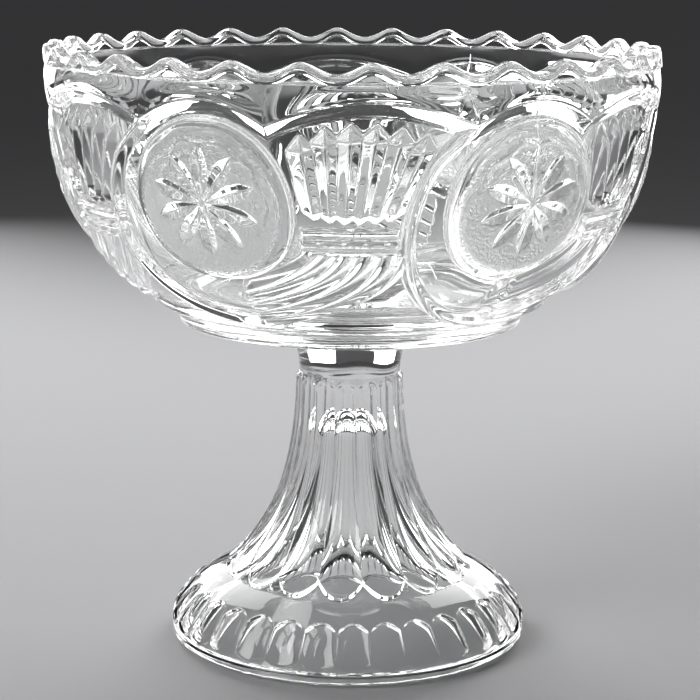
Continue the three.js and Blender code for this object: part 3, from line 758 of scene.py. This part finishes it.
dome_points, dome_reach = even_bezier(DOME_LINE)
dome_slope = np.gradient(dome_points, axis=0)
panel_foot = PANEL_START + PANEL_ARC * (1 - panel)
panel_head = PANEL_END * dome_reach[-1] - PANEL_ARCH * (1 - panel)
for share in np.linspace(0, 1, 90):
    reach = share * dome_reach[-1] * DOME_SHARE
    radius, z = along_curve(dome_points, dome_reach, reach)
    in_panel = (reach - panel_foot) * (panel_head - reach) / ((panel_head - panel_foot) / 2) ** 2
    depth = PANEL_DEPTH * np.sqrt(panel * np.clip(in_panel, 0, 1))
    lean, rise = dome_slope[np.searchsorted(dome_reach, reach)]
    size = math.hypot(lean, rise)
    stand_rings.append((radius - depth * rise / size, z + depth * lean / size))

fall = TONGUE_ARC * (1 - flute)
stem_points, stem_reach = even_bezier(STEM_LINE)
tongue_r, tongue_z = STEM_LINE[0]
foot_ring = (tongue_r + TONGUE_FLARE - fall, tongue_z - TONGUE_STEP + fall)
top_ring = (tongue_r - fall, tongue_z + fall)


def blend(start, end, share):
    """A ring's radius and height, a share of the way from one ring to another."""
    return tuple(before + (after - before) * share for before, after in zip(start, end))


dome_ring = stand_rings[-1]
for share in later_shares(13):
    stand_rings.append(blend(dome_ring, foot_ring, share))
for share in later_shares(7):
    radius, _ = blend(foot_ring, top_ring, share)
    _, z = blend(foot_ring, top_ring, ease(share))
    stand_rings.append((radius, z))
for share in later_shares(149):
    radius, z = along_curve(stem_points, stem_reach, share * stem_reach[-1])
    from_top = JOINT_Z - z
    depth = (FLUTE_DEPTH_FOOT + (FLUTE_DEPTH_TOP - FLUTE_DEPTH_FOOT) * share) * flute
    depth = depth * ease((from_top - FLUTE_HEAD * (1 - flute)) / FLUTE_HEAD)
    radius = radius - (STEM_LINE[-1][0] - WAFER_WAIST_R) * ease(1 - from_top / STEM_SHOULDER)
    stand_rings.append(blend(top_ring, (radius - depth, z), ease(share / STEM_START_RUN)))
stand_rings.append((WAFER_WAIST_R, JOINT_Z))
stand = ring_mesh("fluted_stand", stand_turns, stand_rings[::-1], close_end=True)
stand.data.flip_normals()
stand.data.materials.append(clear_glass("stand_glass"))
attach(stand, "root")
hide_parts("stem_and_foot")

# Table and light
# A pale matt table that runs on past the picture. Two tall soft lamps stand behind the glass on
# its left and right, and a third in front on the left, as in a plain studio.
TABLE_HALF = 8
PAPER_COLOUR = (0.42, 0.42, 0.43, 1)
PAPER_ROUGHNESS = 0.9
table_corners = [(x * TABLE_HALF, y * TABLE_HALF, 0) for x, y in ((-1, -1), (1, -1), (1, 1), (-1, 1))]
table_mesh = bpy.data.meshes.new("table_top")
table_mesh.from_pydata(table_corners, [], [(0, 1, 2, 3)])
table = bpy.data.objects.new("table_top", table_mesh)
bpy.context.scene.collection.objects.link(table)
paper = bpy.data.materials.new("pale_paper")
paper.use_nodes = True
paper.node_tree.nodes["Principled BSDF"].inputs["Base Color"].default_value = PAPER_COLOUR
paper.node_tree.nodes["Principled BSDF"].inputs["Roughness"].default_value = PAPER_ROUGHNESS
table.data.materials.append(paper)


LAMP_AIM = 0.12
REAR_TURN = 153
REAR_LAMP = {"distance": 0.85, "height": 0.52, "size": (0.5, 0.95), "power": 3.6, "spread": 120}
FRONT_TURN = -60
FRONT_LAMP = {"distance": 1.0, "height": 0.85, "size": (0.6, 0.6), "power": 2.2, "spread": 100}


def softbox(name, turn, distance, height, size, power, spread):
    """A soft lamp, in metres and watts, so far from the middle of the table and facing the glass."""
    lamp = bpy.data.lights.new(name, "AREA")
    lamp.shape = "RECTANGLE"
    lamp.size, lamp.size_y = size
    lamp.energy = power
    lamp.spread = spread * DEGREE
    holder = bpy.data.objects.new(name, lamp)
    holder.location = (distance * math.sin(turn * DEGREE), -distance * math.cos(turn * DEGREE), height)
    facing = Vector((-holder.location.x, -holder.location.y, LAMP_AIM - height))
    holder.rotation_euler = facing.to_track_quat("-Z", "Y").to_euler()
    holder.visible_camera = False
    bpy.context.scene.collection.objects.link(holder)


softbox("left_rear_softbox", -REAR_TURN, **REAR_LAMP)
softbox("right_rear_softbox", REAR_TURN, **REAR_LAMP)
softbox("left_front_softbox", FRONT_TURN, **FRONT_LAMP)

SKY_COLOUR = (0.07, 0.07, 0.072, 1)
world = bpy.data.worlds.new("studio")
bpy.context.scene.world = world
world.use_nodes = True
world.node_tree.nodes["Background"].inputs["Color"].default_value = SKY_COLOUR
world.node_tree.nodes["Background"].inputs["Strength"].default_value = 1.0

# Camera
# The photograph's view, from a little above the rim and about 700 mm away, worked out from the
# ellipses of the rim and the foot. It stands a little left of the middle and is hardly rolled.
CAMERA_DISTANCE = 700.13
CAMERA_HEIGHT = 243.42
CAMERA_TURN = -3.37
CAMERA_PITCH = 0.2027
CAMERA_ROLL = 0.0083
FOCAL_PIXELS = 2090.84
FRAME_PIXELS = 700
SENSOR = 36

camera_data = bpy.data.cameras.new("camera")
camera_data.sensor_width = SENSOR
camera_data.lens = FOCAL_PIXELS / FRAME_PIXELS * SENSOR
camera = bpy.data.objects.new("camera", camera_data)
camera.location = (
    CAMERA_DISTANCE * math.sin(CAMERA_TURN * DEGREE) * MM,
    -CAMERA_DISTANCE * math.cos(CAMERA_TURN * DEGREE) * MM,
    CAMERA_HEIGHT * MM,
)
turn_matrix = Matrix.Rotation(CAMERA_TURN * DEGREE, 3, "Z")
pitch_matrix = Matrix.Rotation(math.pi / 2 - CAMERA_PITCH, 3, "X")
roll_matrix = Matrix.Rotation(CAMERA_ROLL, 3, "Z")
camera.rotation_euler = (turn_matrix @ pitch_matrix @ roll_matrix).to_euler()
bpy.context.scene.collection.objects.link(camera)
bpy.context.scene.camera = camera

bpy.context.scene.view_settings.view_transform = "Standard"
# Light passes many faces of the glass, so it needs many bounces.
bpy.context.scene.cycles.max_bounces = 32
bpy.context.scene.cycles.transmission_bounces = 32
bpy.context.scene.cycles.glossy_bounces = 24
